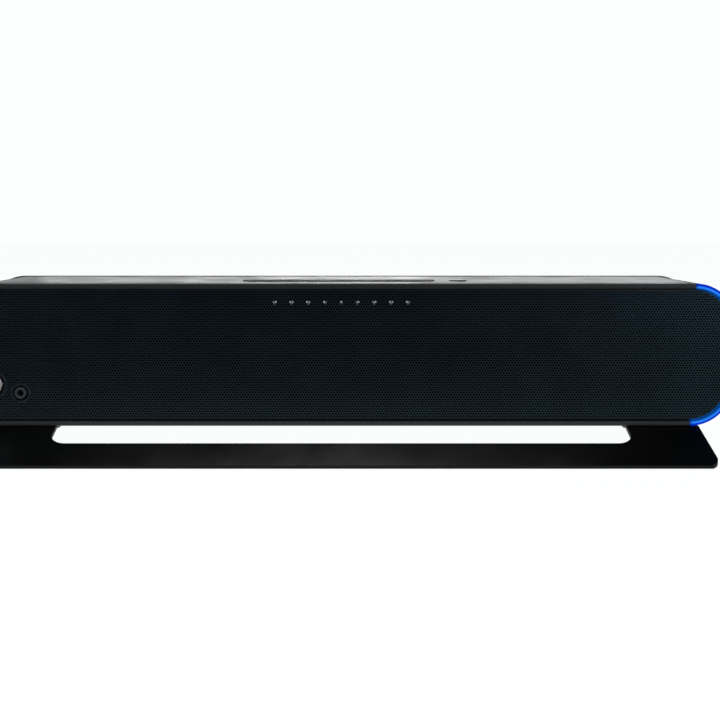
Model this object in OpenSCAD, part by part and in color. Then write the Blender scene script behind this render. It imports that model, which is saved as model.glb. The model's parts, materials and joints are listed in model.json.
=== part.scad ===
// Desktop soundbar on a bent steel stand.
// Frame: +X to the listener's right, -Y towards the listener, +Z up, origin on the desk under the middle.
// Depths are measured backwards from the front plane of the frame, heights upwards from the desk.

/* [Cabinet] */
// Width over the light guides
body_w = 416; // [412:1:424]
// Height of the cabinet alone
body_h = 75.8; // [74:0.1:77]
// Depth from the front plane to the back of the rear cover
body_d = 78; // [76:1:90]
// Corner radius of the cabinet seen from the front
corner_r = 22.5; // [21:0.5:24]
// Thickness of the plastic walls
wall = 2.5; // [2:0.1:3]
// Thickness of the rear cover plate
rear_plate = 4; // [3.5:0.5:4.5]
// Corner radius of the rear cover plate, tighter than the cabinet's
rear_r = 18; // [10:1:22]
// How far the rear cover plate stands out above and below the cabinet
rear_lip = 0.2; // [0:0.1:0.6]

/* [Front] */
// Radial width of the rim and of the light guides
rim_w = 3.2; // [2.8:0.1:3.4]
// Depth of the light guides
guide_d = 6; // [5.8:0.1:6]
// How far the grille is set back from the front plane
grille_setback = 2.5; // [2:0.1:2.8]
// Thickness of the perforated sheet
grille_t = 0.8; // [0.6:0.1:0.8]
// Number of indicator lights
indicators = 9; // [3:1:9]
// Distance between neighbouring indicator lights
indicator_pitch = 8.75; // [6:0.05:8.85]
// Distance of the indicator lights below the top of the cabinet
indicator_drop = 10; // [9.5:0.1:10.2]

/* [Controls] */
// Distance of the volume knob from the middle
knob_x = 185.5; // [184:0.5:187]
// Height of the volume knob above the cabinet's underside
knob_up = 22; // [21:0.5:23]
// Diameter of the volume knob
knob_dia = 10; // [10:0.5:12]
// How far the volume knob stands out in front of the front plane
knob_out = 2.5; // [2:0.5:6]
// Diameter of the grille opening around the knob
knob_hole_dia = 13; // [13:0.5:17]
// Distance of the headphone socket from the middle
jack_x = 170.8; // [170:0.1:171]
// Height of the headphone socket above the cabinet's underside
jack_up = 17.5; // [17:0.5:18]
// Diameter of the grille opening around the headphone socket
jack_hole_dia = 7.8; // [7.6:0.1:9]
// Bore of the headphone and line-in sockets
socket_bore = 3.6; // [3.55:0.05:3.7]
// Number of keys in the key bar
keys = 5; // [5:1:5]
// Length of the key bar
bar_len = 105; // [100:1:105]
// Width of the key bar and diameter of its round ends
bar_w = 14; // [12:0.5:14]
// Middle of the key bar along X
bar_x = -1.5; // [-3:0.5:0]
// Depth of the key bar's middle line
bar_depth = 28; // [27:1:31]
// Height of the keys above the top of the cabinet
key_rise = 0.5; // [0.5:0.1:1.2]
// Travel of every key
key_travel = 0.4; // [0.3:0.1:0.6]
// Diameter of the power key
power_dia = 9.4; // [8:0.1:10]
// Position of the power key along X
power_x = 64; // [63:0.5:66]

/* [Speakers] */
// Distance of each driver from the middle
driver_x = 115; // [112:1:118]
// Outer radius of the driver flange
driver_r = 31; // [31:0.5:32]
// Half length of the straight sides of the passive radiator
radiator_half = 28; // [20:1:28]
// Radius of the passive radiator plate's round ends
radiator_r = 17; // [15:0.5:17]

/* [Stand] */
// Height of the cabinet's underside above the desk
lift = 15.5; // [14:0.5:20]
// Thickness of the steel sheet
sheet = 2; // [1.5:0.5:2]
// Slope of the front of the stand in degrees
slope = 20; // [19:1:24]
// Half width of the stand
stand_half = 190.5; // [188:0.5:192]
// Half width of the window between the arms
window_half = 152; // [148:0.5:153]
// Half gap between the two rear legs
rear_gap_half = 170; // [168:1:172]
// Depth of the front crossbar in plan
crossbar = 19.5; // [16:0.5:20]
// Radius of the stand's front corners
stand_corner_r = 7; // [5:0.5:9]
// Corner radius of the window
window_r = 8.5; // [5:0.5:9]

/* [Hidden] */
$fn = 64;

gap = 0.3;                       // free space around pieces that slip into each other
frame_d = 10;                    // back of the front frame
baffle_d = 12;                   // front face of the baffle
baffle_t = 4;
seal_t = 0.6;
shell_back = body_d - rear_plate - seal_t;
cover_d = body_d - rear_plate;   // inner face of the rear cover
mid_z = lift + body_h / 2;
top_z = lift + body_h;
pad_t = 0.6;                     // thinnest part of the rubber pads

// The sloping face meets the underside of the cabinet just behind the front plane.
slope_meet = 1;
edge_top_z = pad_t + sheet * cos(slope);
reach = (lift - edge_top_z) / tan(slope) - slope_meet;
front_y = (reach - body_d) / 2;  // the origin is in the middle of the whole depth

// Screw columns that hold the baffle in front and the rear cover behind.
column_x = [-190, -77.5, 77.5, 190];
column_z = [lift + 8, top_z - 8];
column_r = 3.5;
stand_screw_x = 171;
stand_screw_depth = [28, 54];

// ---------- shapes ----------

// A rectangle with true round corners, centred.
module round_rect(w, h, r) {
    square([w - 2 * r, h], center = true);
    square([w, h - 2 * r], center = true);
    for (sx = [-1, 1], sy = [-1, 1])
        translate([sx * (w / 2 - r), sy * (h / 2 - r)]) circle(r);
}

// The cabinet's outline, inset all round.
module outline(inset) {
    round_rect(body_w - 2 * inset, body_h - 2 * inset, corner_r - inset);
}

module outline_ring(outer, inner) {
    difference() {
        outline(outer);
        outline(inner);
    }
}

// A flat shape drawn in X and Z about the cabinet's middle, filled between two depths.
module layer(from, to) {
    translate([0, front_y + to, mid_z]) rotate([90, 0, 0]) linear_extrude(to - from) children();
}

// Puts children on an axis that runs backwards, starting at the given depth.
module backwards(x, z, depth = 0) {
    translate([x, front_y + depth, z]) rotate([-90, 0, 0]) children();
}

module block(x, depth, z, size) {
    translate([x - size[0] / 2, front_y + depth, z]) cube(size);
}

// A slot with round ends, lying flat, centred.
module stadium(length, width) {
    square([length - width, width], center = true);
    for (s = [-1, 1]) translate([s * (length - width) / 2, 0]) circle(width / 2);
}

module racetrack(half, r) {
    square([2 * half, 2 * r], center = true);
    for (s = [-1, 1]) translate([s * half, 0]) circle(r);
}

// A pan-head screw that points along +Z from the underside of its head, with a cross recess.
module screw(d, length, head_d, head_h) {
    difference() {
        union() {
            cylinder(d = d, h = length);
            translate([0, 0, -head_h]) cylinder(d1 = head_d * 0.8, d2 = head_d, h = head_h * 0.45);
            translate([0, 0, -head_h * 0.55]) cylinder(d = head_d, h = head_h * 0.55);
        }
        for (a = [0, 90])
            rotate([0, 0, a]) translate([-head_d * 0.3, -head_d * 0.07, -head_h - 0.1])
                cube([head_d * 0.6, head_d * 0.14, head_h * 0.6]);
    }
}

// ---------- cabinet ----------

module key_slots(extra, from_z, to_z) {
    translate([bar_x, front_y + bar_depth, from_z])
        linear_extrude(to_z - from_z) stadium(bar_len + 2 * extra, bar_w + 2 * extra);
    translate([power_x, front_y + bar_depth, from_z])
        cylinder(r = power_dia / 2 + extra, h = to_z - from_z);
}

// Screw columns from one depth to another, each tied to the nearest wall by a rib.
module columns(from, to, extra = 0) {
    for (x = column_x, z = column_z) {
        backwards(x, z, from) cylinder(r = column_r + extra, h = to - from);
        block(x, from, z < mid_z ? z - 6 : z, [3 + 2 * extra, to - from, 6]);
    }
}

board_z = lift + 8;              // underside of the main board
board_x = [-54, 54];
board_depth = [25, 53];
key_board_z = 79.5 - 91 + top_z; // underside of the key board, hung below the top
key_board_posts = [-61, 72.2];

module main_shell() {
    color("#17181a") difference() {
        union() {
            layer(frame_d, shell_back) outline_ring(0, wall);
            columns(baffle_d + baffle_t, shell_back);
            for (x = board_x, d = board_depth)
                translate([x, front_y + d, lift + 1]) cylinder(r = 3, h = board_z - lift - 1);
            for (sx = [-1, 1], d = stand_screw_depth)
                translate([sx * stand_screw_x, front_y + d, lift + 1]) cylinder(r = 4.5, h = 12);
            for (x = key_board_posts)
                translate([x, front_y + bar_depth, key_board_z + 1.6])
                    cylinder(r = 2, h = top_z - wall / 2 - key_board_z - 1.6);
        }
        key_slots(0.4, top_z - wall - 1, top_z + 1);
        for (x = column_x, z = column_z) {
            backwards(x, z, baffle_d + baffle_t - 1) cylinder(r = 1.5, h = 9);
            backwards(x, z, shell_back - 9) cylinder(r = 1.5, h = 10);
        }
        for (sx = [-1, 1], d = stand_screw_depth)
            translate([sx * stand_screw_x, front_y + d, lift - 1]) cylinder(r = 2, h = 11);
    }
}

module front_frame() {
    straight = body_w - 2 * corner_r;
    color("#2b2d30") {
        layer(guide_d, frame_d) outline_ring(0, rim_w + 2.3);
        layer(frame_d - 0.01, frame_d + 1.5) outline_ring(wall + gap, wall + gap + 1.5);
        layer(0, guide_d + 0.01) intersection() {
            outline_ring(0, rim_w);
            square([straight - 0.2, body_h + 2], center = true);
        }
    }
}

// Everything outside the straight top and bottom edges on one side.
module end_zone(side, margin) {
    start = body_w / 2 - corner_r + margin;
    translate([side > 0 ? start : -body_w, -body_h]) square([body_w - start, 2 * body_h]);
}

module light_guide(side) {
    color("#1f6dff") difference() {
        layer(0, guide_d) intersection() {
            outline_ring(0, rim_w);
            end_zone(side, 0.1);
        }
        layer(guide_d - 1.6, guide_d + 1) intersection() {
            outline_ring(0.9, rim_w - 0.6);
            end_zone(side, 1);
        }
    }
}

module led_strip(side) {
    corner_x = side * (body_w / 2 - corner_r);
    corner_z = body_h / 2 - corner_r;
    led_r = corner_r - 1.75;
    module led() translate([-0.5, -1, 0]) cube([1, 2, 0.8]);
    color("#e8e8e0") {
        layer(guide_d - 0.6, guide_d) intersection() {
            outline_ring(1.1, rim_w - 0.8);
            end_zone(side, 1.5);
        }
        for (up = [-1, 1], a = [12 : 24 : 84])
            translate([corner_x, front_y + guide_d - 0.6, mid_z + up * corner_z])
                rotate([90, side > 0 ? -up * a : 180 + up * a, 0]) translate([led_r, 0, 0]) led();
        for (z = [-8, 0, 8])
            translate([side * (body_w / 2 - 1.75), front_y + guide_d - 0.6, mid_z + z])
                rotate([90, 0, 0]) led();
    }
}

module front_holes(knob_r, jack_r, from, to) {
    backwards(-knob_x, lift + knob_up, from) cylinder(r = knob_r, h = to - from);
    backwards(-jack_x, lift + jack_up, from) cylinder(r = jack_r, h = to - from);
}

module at_indicators(depth) {
    for (i = [0 : indicators - 1])
        backwards((i - (indicators - 1) / 2) * indicator_pitch, top_z - indicator_drop, depth) children();
}

module grille() {
    edge = rim_w + gap;
    color("#15191e") difference() {
        union() {
            layer(grille_setback, grille_setback + grille_t) outline(edge);
            layer(grille_setback + grille_t - 0.01, guide_d - 0.2) outline_ring(edge, edge + grille_t);
        }
        front_holes(knob_hole_dia / 2, jack_hole_dia / 2, 0, guide_d);
    }
}

scrim_d = grille_setback + grille_t + 0.2;

module grille_scrim() {
    color("#060607") difference() {
        layer(scrim_d, scrim_d + 0.3) outline(rim_w + gap + grille_t + gap);
        front_holes(knob_hole_dia / 2 + 1.5, jack_hole_dia / 2 + 1, 0, guide_d);
        at_indicators(scrim_d - 1) cylinder(r = 1.2, h = 3);
    }
}

// ---------- front inputs ----------

io_cut = [-198, -163, lift + 12, lift + 35];     // the opening in the baffle for the front inputs

module front_baffle() {
    color("#202124") difference() {
        union() {
            layer(baffle_d, baffle_d + baffle_t) outline(wall + 0.4);
            for (x = [-38, 38])
                backwards(x, top_z - indicator_drop, 9.2) cylinder(r = 2, h = baffle_d - 9.1);
        }
        for (s = [-1, 1]) backwards(s * driver_x, mid_z, baffle_d - 1) cylinder(r = 26.6, h = baffle_t + 2);
        block((io_cut[0] + io_cut[1]) / 2, baffle_d - 1, io_cut[2],
              [io_cut[1] - io_cut[0], baffle_t + 2, io_cut[3] - io_cut[2]]);
        for (x = column_x, z = column_z)
            backwards(x, z, baffle_d - 1) cylinder(r = 1.7, h = baffle_t + 2);
        at_driver_screws(baffle_d - 1) cylinder(r = 1.1, h = baffle_t + 2);
    }
}

module baffle_screws() {
    color("silver") for (x = column_x, z = column_z)
        backwards(x, z, baffle_d) screw(2.9, 10, 5.4, 1.7);
}

module front_io_bracket() {
    plate_x = [-203, -157];
    plate_z = [lift + 7, lift + 41];
    color("#303236") difference() {
        union() {
            layer(6, 8) intersection() {
                outline(6);
                translate([plate_x[0], plate_z[0] - mid_z])
                    square([plate_x[1] - plate_x[0], plate_z[1] - plate_z[0]]);
            }
            for (p = [[-160, lift + 10], [-160, lift + 38], [-192, lift + 38]])
                backwards(p[0], p[1], 7.5) cylinder(r = 2.5, h = baffle_d - 7.5);
        }
        backwards(-knob_x, lift + knob_up, 5) cylinder(r = 3.6, h = 4);
        backwards(-jack_x, lift + jack_up, 5) cylinder(r = 3.1, h = 4);
    }
}

io_board_d = 14.5;

module front_io_board() {
    color("#14532d") difference() {
        block((io_cut[0] + io_cut[1]) / 2, io_board_d, io_cut[2] + 0.4,
              [io_cut[1] - io_cut[0] - 0.8, 1.6, io_cut[3] - io_cut[2] - 0.8]);
        block(-jack_x, io_board_d - 1, lift + jack_up - 5.3, [11.6, 4, 10.6]);
    }
}

module encoder_housing() {
    color("#8a8d91") difference() {
        union() {
            block(-knob_x, 8, lift + knob_up - 6.2, [12.4, io_board_d - 8, 12.4]);
            backwards(-knob_x, lift + knob_up, 4.4) cylinder(r = 3.5, h = 4);
        }
        backwards(-knob_x, lift + knob_up, 4) cylinder(r = 3.05, h = 9);
    }
}

module encoder_nut() {
    color("silver") difference() {
        backwards(-knob_x, lift + knob_up, 4.5) cylinder(r = 5.2, h = 1.5, $fn = 6);
        backwards(-knob_x, lift + knob_up, 4) cylinder(r = 3.5, h = 3);
    }
}

shaft_front = 1.7 - knob_out;     // front end of the shaft, inside the knob
shaft_back = 12.5;

module encoder_shaft() {
    color("silver") difference() {
        backwards(-knob_x, lift + knob_up, shaft_front) cylinder(r = 3, h = shaft_back - shaft_front);
        block(-knob_x, shaft_front - 1, lift + knob_up + 1.5, [8, 4.4 - shaft_front, 3]);
    }
}

// A 3.5 mm socket: square body, round nose, bore open at the nose. Local +Z runs into the socket.
module socket(nose, body) {
    difference() {
        union() {
            cylinder(r = 3, h = nose + 0.1);
            translate([-5.5, -5, nose]) cube([11, 10, body]);
        }
        translate([0, 0, -1]) cylinder(d = socket_bore, h = 15.1);
    }
}

jack_front = 1.9;

module headphone_jack() {
    color("#4a4d52") backwards(-jack_x, lift + jack_up, jack_front) socket(8 - jack_front, 10);
}

module volume_knob() {
    back = 4;
    front = -knob_out;
    edge = 0.8;
    color("#c9ccd0") difference() {
        backwards(-knob_x, lift + knob_up, front) union() {
            cylinder(r1 = knob_dia / 2 - edge, r2 = knob_dia / 2, h = edge);
            translate([0, 0, edge]) cylinder(r = knob_dia / 2, h = back - front - edge);
        }
        difference() {
            backwards(-knob_x, lift + knob_up, shaft_front - gap) cylinder(r = 3.05, h = 10);
            block(-knob_x, shaft_front - 2, lift + knob_up + 1.6, [8, 5 - shaft_front, 3]);
        }
        backwards(-knob_x, lift + knob_up + knob_dia / 2 - 1.9, front - 1) cylinder(r = 0.6, h = 1.5);
    }
}

// ---------- indicators ----------

module indicator_board() {
    color("#14532d") block(0, 8, top_z - indicator_drop - 4, [84, 1.2, 8]);
}

module indicator_light_pipes() {
    color("#eef3ff") at_indicators(grille_setback + grille_t + 0.1) cylinder(r = 1, h = 4.6);
}

// ---------- drivers ----------

driver_screw_r = 28.6;

module at_driver_screws(depth) {
    for (s = [-1, 1], a = [45 : 90 : 315])
        backwards(s * driver_x + driver_screw_r * cos(a), mid_z + driver_screw_r * sin(a), depth) children();
}

module at_driver(side) {
    backwards(side * driver_x, mid_z) children();
}

module basket(side) {
    color("#26282b") at_driver(side) difference() {
        rotate_extrude() polygon([
            [24, 10.6], [driver_r, 10.6], [driver_r, 12], [26.3, 12], [19.4, 26], [19.4, 27.2],
            [9, 27.2], [9, 26], [18.2, 26], [25, 12], [24, 12]
        ]);
        for (a = [0, 90, 180, 270])
            rotate([0, 0, a]) translate([10, -5, 15]) cube([20, 10, 7.5]);
        for (a = [45 : 90 : 315])
            translate([driver_screw_r * cos(a), driver_screw_r * sin(a), 10]) cylinder(r = 1.5, h = 3);
    }
}

module top_plate(side) {
    color("silver") at_driver(side) translate([0, 0, 27.2]) difference() {
        cylinder(r = 21, h = 3);
        translate([0, 0, -1]) cylinder(r = 8.6, h = 5);
    }
}

module magnet(side) {
    color("#3c3c3e") at_driver(side) translate([0, 0, 30.2]) difference() {
        cylinder(r = 23, h = 10);
        translate([0, 0, -1]) cylinder(r = 10.5, h = 12);
    }
}

module yoke(side) {
    color("silver") at_driver(side) {
        translate([0, 0, 40.2]) cylinder(r = 21, h = 3);
        translate([0, 0, 27.5]) cylinder(r = 7.2, h = 13);
    }
}

function arc(cx, cy, r, a0, a1, n = 10) =
    [for (i = [0 : n]) let (a = a0 + (a1 - a0) * i / n) [cx + r * cos(a), cy + r * sin(a)]];

// A rubber half roll between the flange and the deeper edge of the cone.
module surround(side) {
    roll_r = 21.6;
    color("#0e0e0f") at_driver(side) rotate_extrude() polygon(concat(
        [[26.4, 9.9], [26.4, 10.6], [23.2, 10.6]],
        arc(roll_r, 10.6, 1.6, 0, -180),
        [[20, 13.3], [19.3, 13.3]],
        arc(roll_r, 10.6, 2.3, -180, 0),
        [[23.9, 9.9]]
    ));
}

module spider(side) {
    ripples = 4;
    step = (18 - 8.3) / (2 * ripples);
    function wave(z) = [for (i = [0 : 2 * ripples]) [8.3 + i * step, z + (i % 2) * 0.8]];
    color("#b08a4a") at_driver(side) rotate_extrude() polygon(concat(
        wave(23.2), [for (i = [2 * ripples : -1 : 0]) wave(23.6)[i]]
    ));
}

module cone(side) {
    color("#1b1b1d") at_driver(side) {
        rotate_extrude() polygon([
            [19.9, 13.5], [19.9, 14.1], [18.9, 14.3], [8.15, 21.6], [8.15, 32], [7.75, 32],
            [7.75, 20.4], [18.6, 13.5]
        ]);
        rotate_extrude() polygon(concat(
            arc(0, 31.85, 14.5, -90, -54), arc(0, 31.85, 13.9, -54, -90)
        ));
    }
}

module driver_screws() {
    color("silver") at_driver_screws(10.6) screw(2.1, 6, 4, 1.2);
}

// ---------- keys ----------

module key_stem(x) {
    translate([x, front_y + bar_depth, top_z - 6.4]) cylinder(r = 1.5, h = 3);
}

// One key of the bar: a slice of the round-ended bar, a lip below the wall and a stem.
module key(i) {
    pitch = bar_len / keys;
    left = bar_x - bar_len / 2 + (i - 1) * pitch + (i == 1 ? 0 : 0.25);
    right = bar_x - bar_len / 2 + i * pitch - (i == keys ? 0 : 0.25);
    color("#141516") {
        translate([0, front_y + bar_depth, top_z - wall - 1.3]) intersection() {
            union() {
                translate([bar_x, 0, 0]) linear_extrude(wall + 1.3 + key_rise) stadium(bar_len, bar_w);
                translate([bar_x, 0, 0]) linear_extrude(1.2) square([bar_len - bar_w, bar_w + 3], center = true);
            }
            translate([left, -20, -1]) cube([right - left, 40, 20]);
        }
        key_stem((left + right) / 2);
    }
}

module power_key() {
    color("#c9ccd0") {
        translate([power_x, front_y + bar_depth, top_z - wall - 1.3]) {
            cylinder(r = power_dia / 2, h = wall + 1.3 + key_rise);
            cylinder(r = power_dia / 2 + 1.2, h = 1.2);
        }
        key_stem(power_x);
    }
}

function key_centre(i) = bar_x - bar_len / 2 + (i - 0.5) * bar_len / keys;
switch_xs = concat([for (i = [1 : keys]) key_centre(i)], [power_x]);

module key_board() {
    color("#14532d")
        block((key_board_posts[0] + key_board_posts[1]) / 2, bar_depth - 8, key_board_z, [136, 16, 1.6]);
}

module tact_switches() {
    color("#9a9da1") for (x = switch_xs)
        block(x, bar_depth - 3, key_board_z + 1.6, [6, 6, top_z - 6.5 - key_travel - key_board_z - 1.6]);
}

// ---------- main board ----------

board_top = board_z + 1.6;

module main_board() {
    color("#14532d") difference() {
        block(0, 20, board_z, [118, 38, 1.6]);
        for (x = board_x, d = board_depth)
            translate([x, front_y + d, board_z - 1]) cylinder(r = 1.6, h = 4);
    }
}

module board_heatsink() {
    fins = 7;
    color("silver") {
        block(-32, 30, board_top, [28, 18, 2.5]);
        for (i = [0 : fins - 1])
            block(-32 - 13 + i * 26 / (fins - 1), 30, board_top + 2.4, [1.4, 18, 10]);
    }
}

module board_capacitors() {
    color("#2a2f6b") for (i = [0 : 3])
        translate([-6 + i * 11.5, front_y + 27, board_top]) cylinder(r = 4.5, h = 14);
}

module board_inductors() {
    color("#55565a") for (i = [0 : 3]) difference() {
        block(-6 + i * 11.5, 36, board_top, [8, 8, 4.5]);
        translate([-6 + i * 11.5, front_y + 40, board_top + 3.7]) cylinder(r = 2.6, h = 2);
    }
}

module board_chips() {
    color("#111214") {
        block(-6, 48, board_top, [9, 7, 1.2]);
        block(10, 47.5, board_top, [7, 7, 1]);
        block(28, 47, board_top, [14, 9, 2.2]);
    }
}

module board_connectors() {
    color("ivory") {
        for (x = [-45, 45]) block(x, 21, board_top, [8, 3, 6]);
        block(0, 20.1, board_top, [13, 2.2, 4]);
        block(46, 44, board_top, [5, 8, 6]);
    }
}

// ---------- rear ----------

aux_x = 112;
usb_x = 132;
rear_io_z = lift + 24;
rear_board_d = 60.4;

module rear_cover() {
    color("#17181a") difference() {
        union() {
            layer(cover_d, body_d) round_rect(body_w - 2, body_h + 2 * rear_lip, rear_r);
            layer(cover_d - 3, cover_d + 0.01) outline_ring(wall + gap, wall + gap + 2);
            for (x = [101, 143])
                backwards(x, rear_io_z + 8, rear_board_d + 1.6) cylinder(r = 2, h = cover_d - rear_board_d - 1.5);
        }
        layer(cover_d - 1, body_d + 1) racetrack(radiator_half, radiator_r + 7.4);
        columns(cover_d - 4, cover_d, gap);
        for (x = column_x, z = column_z) {
            backwards(x, z, cover_d - 1) cylinder(r = 1.7, h = 6);
            backwards(x, z, body_d - 2.2) cylinder(r = 3.2, h = 3);
        }
        backwards(aux_x, rear_io_z, cover_d - 1) cylinder(r = 3.2, h = rear_plate + 2);
        layer(cover_d - 1, body_d + 1) translate([usb_x, rear_io_z - mid_z]) stadium(10, 4.4);
    }
}

module rear_seal() {
    color("#3a3a3a") layer(shell_back, cover_d) outline_ring(0.4, wall - 0.3);
}

module rear_screws() {
    color("silver") for (x = column_x, z = column_z)
        translate([x, front_y + body_d - 2.2, z]) rotate([90, 0, 0]) screw(2.9, 9.5, 5.6, 1.8);
}

// Carries a profile, drawn as distance from the racetrack's spine and depth, round the racetrack.
module round_racetrack() {
    for (s = [-1, 1])
        backwards(s * radiator_half, mid_z) rotate([0, 0, s > 0 ? -90 : 90])
            rotate_extrude(angle = 180) children();
    for (up = [0, 1])
        translate([0, front_y, mid_z]) rotate([0, 180 * up, 0]) translate([-radiator_half, 0, 0])
            rotate([90, 0, 90]) linear_extrude(2 * radiator_half) rotate([0, 0, 90]) mirror([0, 1, 0]) children();
}

module radiator_surround() {
    lip_d = cover_d - 1;
    roll = radiator_r + 3.5;
    color("#0e0e0f") round_racetrack() polygon(concat(
        [[radiator_r - 2.5, lip_d + 1], [radiator_r - 2.5, lip_d]],
        arc(roll, lip_d, 2.5, 180, 0),
        [[radiator_r + 9, lip_d], [radiator_r + 9, lip_d + 1]],
        arc(roll, lip_d, 3.4, 17, 163)
    ));
}

module radiator_plate() {
    color("#2c2e31") layer(cover_d + 0.05, cover_d + 2) racetrack(radiator_half, radiator_r - 1.2);
}

module aux_jack() {
    color("#3f7d3a") translate([aux_x, front_y + body_d - 0.4, rear_io_z]) rotate([90, 0, 0])
        socket(rear_plate - 0.35, 11.9);
}

module usb_port() {
    inner = body_d - 0.4;
    color("silver") {
        difference() {
            layer(inner - 7.3, inner) translate([usb_x, rear_io_z - mid_z]) stadium(9.4, 3.8);
            layer(inner - 6.5, inner + 1) translate([usb_x, rear_io_z - mid_z]) stadium(8.7, 3.1);
        }
        block(usb_x, inner - 6.6, rear_io_z - 0.35, [6.6, 5.2, 0.7]);
        block(usb_x, rear_board_d + 1.6, rear_io_z - 1.9, [9.4, inner - 7.2 - rear_board_d - 1.6, 3.8]);
    }
}

module rear_io_board() {
    color("#14532d") block(122, rear_board_d, rear_io_z - 10, [50, 1.6, 22]);
}

// ---------- stand ----------

leg_angle = 60;                  // the rear legs drop this steeply
flange_end = 58;
foot_len = 7;
bend = 2;                        // inner radius of every bend
bend_end = slope_meet + 1;       // depth at which the sheet lies flat under the cabinet
window_end = 22;                 // back of the window

// Side view of the sheet as [depth, height], with its bends.
module stand_side() {
    t = sheet;
    // centre of the front bend, under the sheet, on the line between slope and flange
    front_bend = slope_meet + (bend + t) * tan(slope / 2);
    drop = lift - pad_t - t;
    leg_run = (drop - 2 * (bend + t) * (1 - cos(leg_angle)) + t * (1 - cos(leg_angle))) / tan(leg_angle);
    rear_turn = [flange_end, lift - t - bend];
    knee = [rear_turn[0] + (2 * bend + t) * sin(leg_angle) + leg_run, pad_t + t + bend];
    polygon(concat(
        [[-reach + t * sin(slope), pad_t]],
        arc(front_bend, lift - t - bend, bend, 90 + slope, 90, 4),
        arc(rear_turn[0], rear_turn[1], bend, 90, 90 - leg_angle, 8),
        arc(knee[0], knee[1], bend + t, 270 - leg_angle, 270, 8),
        [[knee[0] + foot_len, pad_t], [knee[0] + foot_len, pad_t + t]],
        arc(knee[0], knee[1], bend, 270, 270 - leg_angle, 8),
        arc(rear_turn[0], rear_turn[1], bend + t, 90 - leg_angle, 90, 8),
        arc(front_bend, lift - t - bend, bend + t, 90, 90 + slope, 4),
        [[-reach, pad_t + t * cos(slope)]]
    ));
}

// Plan outline of a rectangle between two depths with round corners, for cutting.
module plan_cut(half, from, to, r) {
    translate([0, front_y + (from + to) / 2, -1]) linear_extrude(lift + 2) round_rect(2 * half, to - from, r);
}

// The waste outside a round corner at [x, depth], opening towards sx, sy.
module corner_waste(x, depth, r, sx, sy) {
    translate([x, front_y + depth, -1]) difference() {
        translate([sx > 0 ? -r : -1, sy > 0 ? -r : -1, 0]) cube([r + 1, r + 1, lift + 2]);
        translate([-sx * r, -sy * r, -1]) cylinder(r = r, h = lift + 4);
    }
}

module stand() {
    behind = body_d + 12;
    color("#101112") difference() {
        translate([-stand_half, front_y, 0]) rotate([90, 0, 90]) linear_extrude(2 * stand_half) stand_side();
        plan_cut(window_half, -reach + crossbar, window_end, window_r);
        plan_cut(window_half + 4, bend_end, window_end, 2);
        plan_cut(rear_gap_half, flange_end - 4, behind, 4);
        for (s = [-1, 1]) corner_waste(s * stand_half, -reach, stand_corner_r, s, -1);
        for (s = [-1, 1], d = stand_screw_depth)
            translate([s * stand_screw_x, front_y + d, lift - sheet - 1]) cylinder(r = 2.2, h = sheet + 2);
    }
}

module stand_screws() {
    color("silver") for (s = [-1, 1], d = stand_screw_depth)
        translate([s * stand_screw_x, front_y + d, lift - sheet]) screw(3.9, 10, 7.6, 2.4);
}

module stand_pads() {
    under = function (d) pad_t + (d + reach - sheet * sin(slope)) * tan(slope);
    from = -reach + 6;
    to = from + 13;
    color("#1a1a1a") {
        for (s = [-1, 1])
            translate([s * 165 - 14, front_y, 0]) rotate([90, 0, 90]) linear_extrude(28)
                polygon([[from, 0], [to, 0], [to, under(to)], [from, under(from)]]);
        for (s = [-1, 1]) translate([s * 180.3 - 7, 0, 0]) block(7, 69, 0, [14, 6, pad_t]);
    }
}

// ---------- internal leads ----------

lead_d = 2.2;
// Route of the right lead from its board header to the driver, as [x, depth, height above the cabinet's underside].
lead_route = [
    [45, 22.5, 15.6], [45, 22.5, 21], [49, 23, 27], [57, 24.5, 29], [66, 27, 27.5], [75, 29.5, 26],
    [84, 30, 28.3], [90, 27, 31.4], [92, 22, 33.9], [92.6, 18, 34.9]
];
lead_sides = 8;
lead_steps = 3;

// A point on the smooth curve through the route.
function spline(p, i, t) =
    let (a = p[max(i - 1, 0)], b = p[i], c = p[i + 1], d = p[min(i + 2, len(p) - 1)])
    0.5 * (2 * b + (c - a) * t + (2 * a - 5 * b + 4 * c - d) * t * t + (3 * b - a - 3 * c + d) * t * t * t);
function smooth(p, steps) = concat(
    [for (i = [0 : len(p) - 2], k = [0 : steps - 1]) spline(p, i, k / steps)], [p[len(p) - 1]]);
function unit(v) = v / norm(v);
function ring_at(c, dir, r, n) =
    let (u = unit(cross(dir, [0.3, 0.2, 1])), v = cross(dir, u))
    [for (k = [0 : n - 1]) c + r * (u * cos(360 * k / n) + v * sin(360 * k / n))];

module sweep(points, r, n) {
    m = len(points);
    rings = [for (i = [0 : m - 1])
        ring_at(points[i], unit(points[min(i + 1, m - 1)] - points[max(i - 1, 0)]), r, n)];
    polyhedron(
        [for (ring = rings, p = ring) p],
        concat(
            [[for (k = [0 : n - 1]) k]],
            [for (i = [0 : m - 2], k = [0 : n - 1])
                [i * n + (k + 1) % n, i * n + k, (i + 1) * n + k, (i + 1) * n + (k + 1) % n]],
            [[for (k = [n - 1 : -1 : 0]) (m - 1) * n + k]]
        ),
        convexity = 6
    );
}

module speaker_leads() {
    color("#a12a2a") for (s = [-1, 1])
        sweep([for (p = smooth(lead_route, lead_steps)) [s * p[0], front_y + p[1], lift + p[2]]],
              lead_d / 2, lead_sides);
}

// ---------- what is drawn ----------

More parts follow.
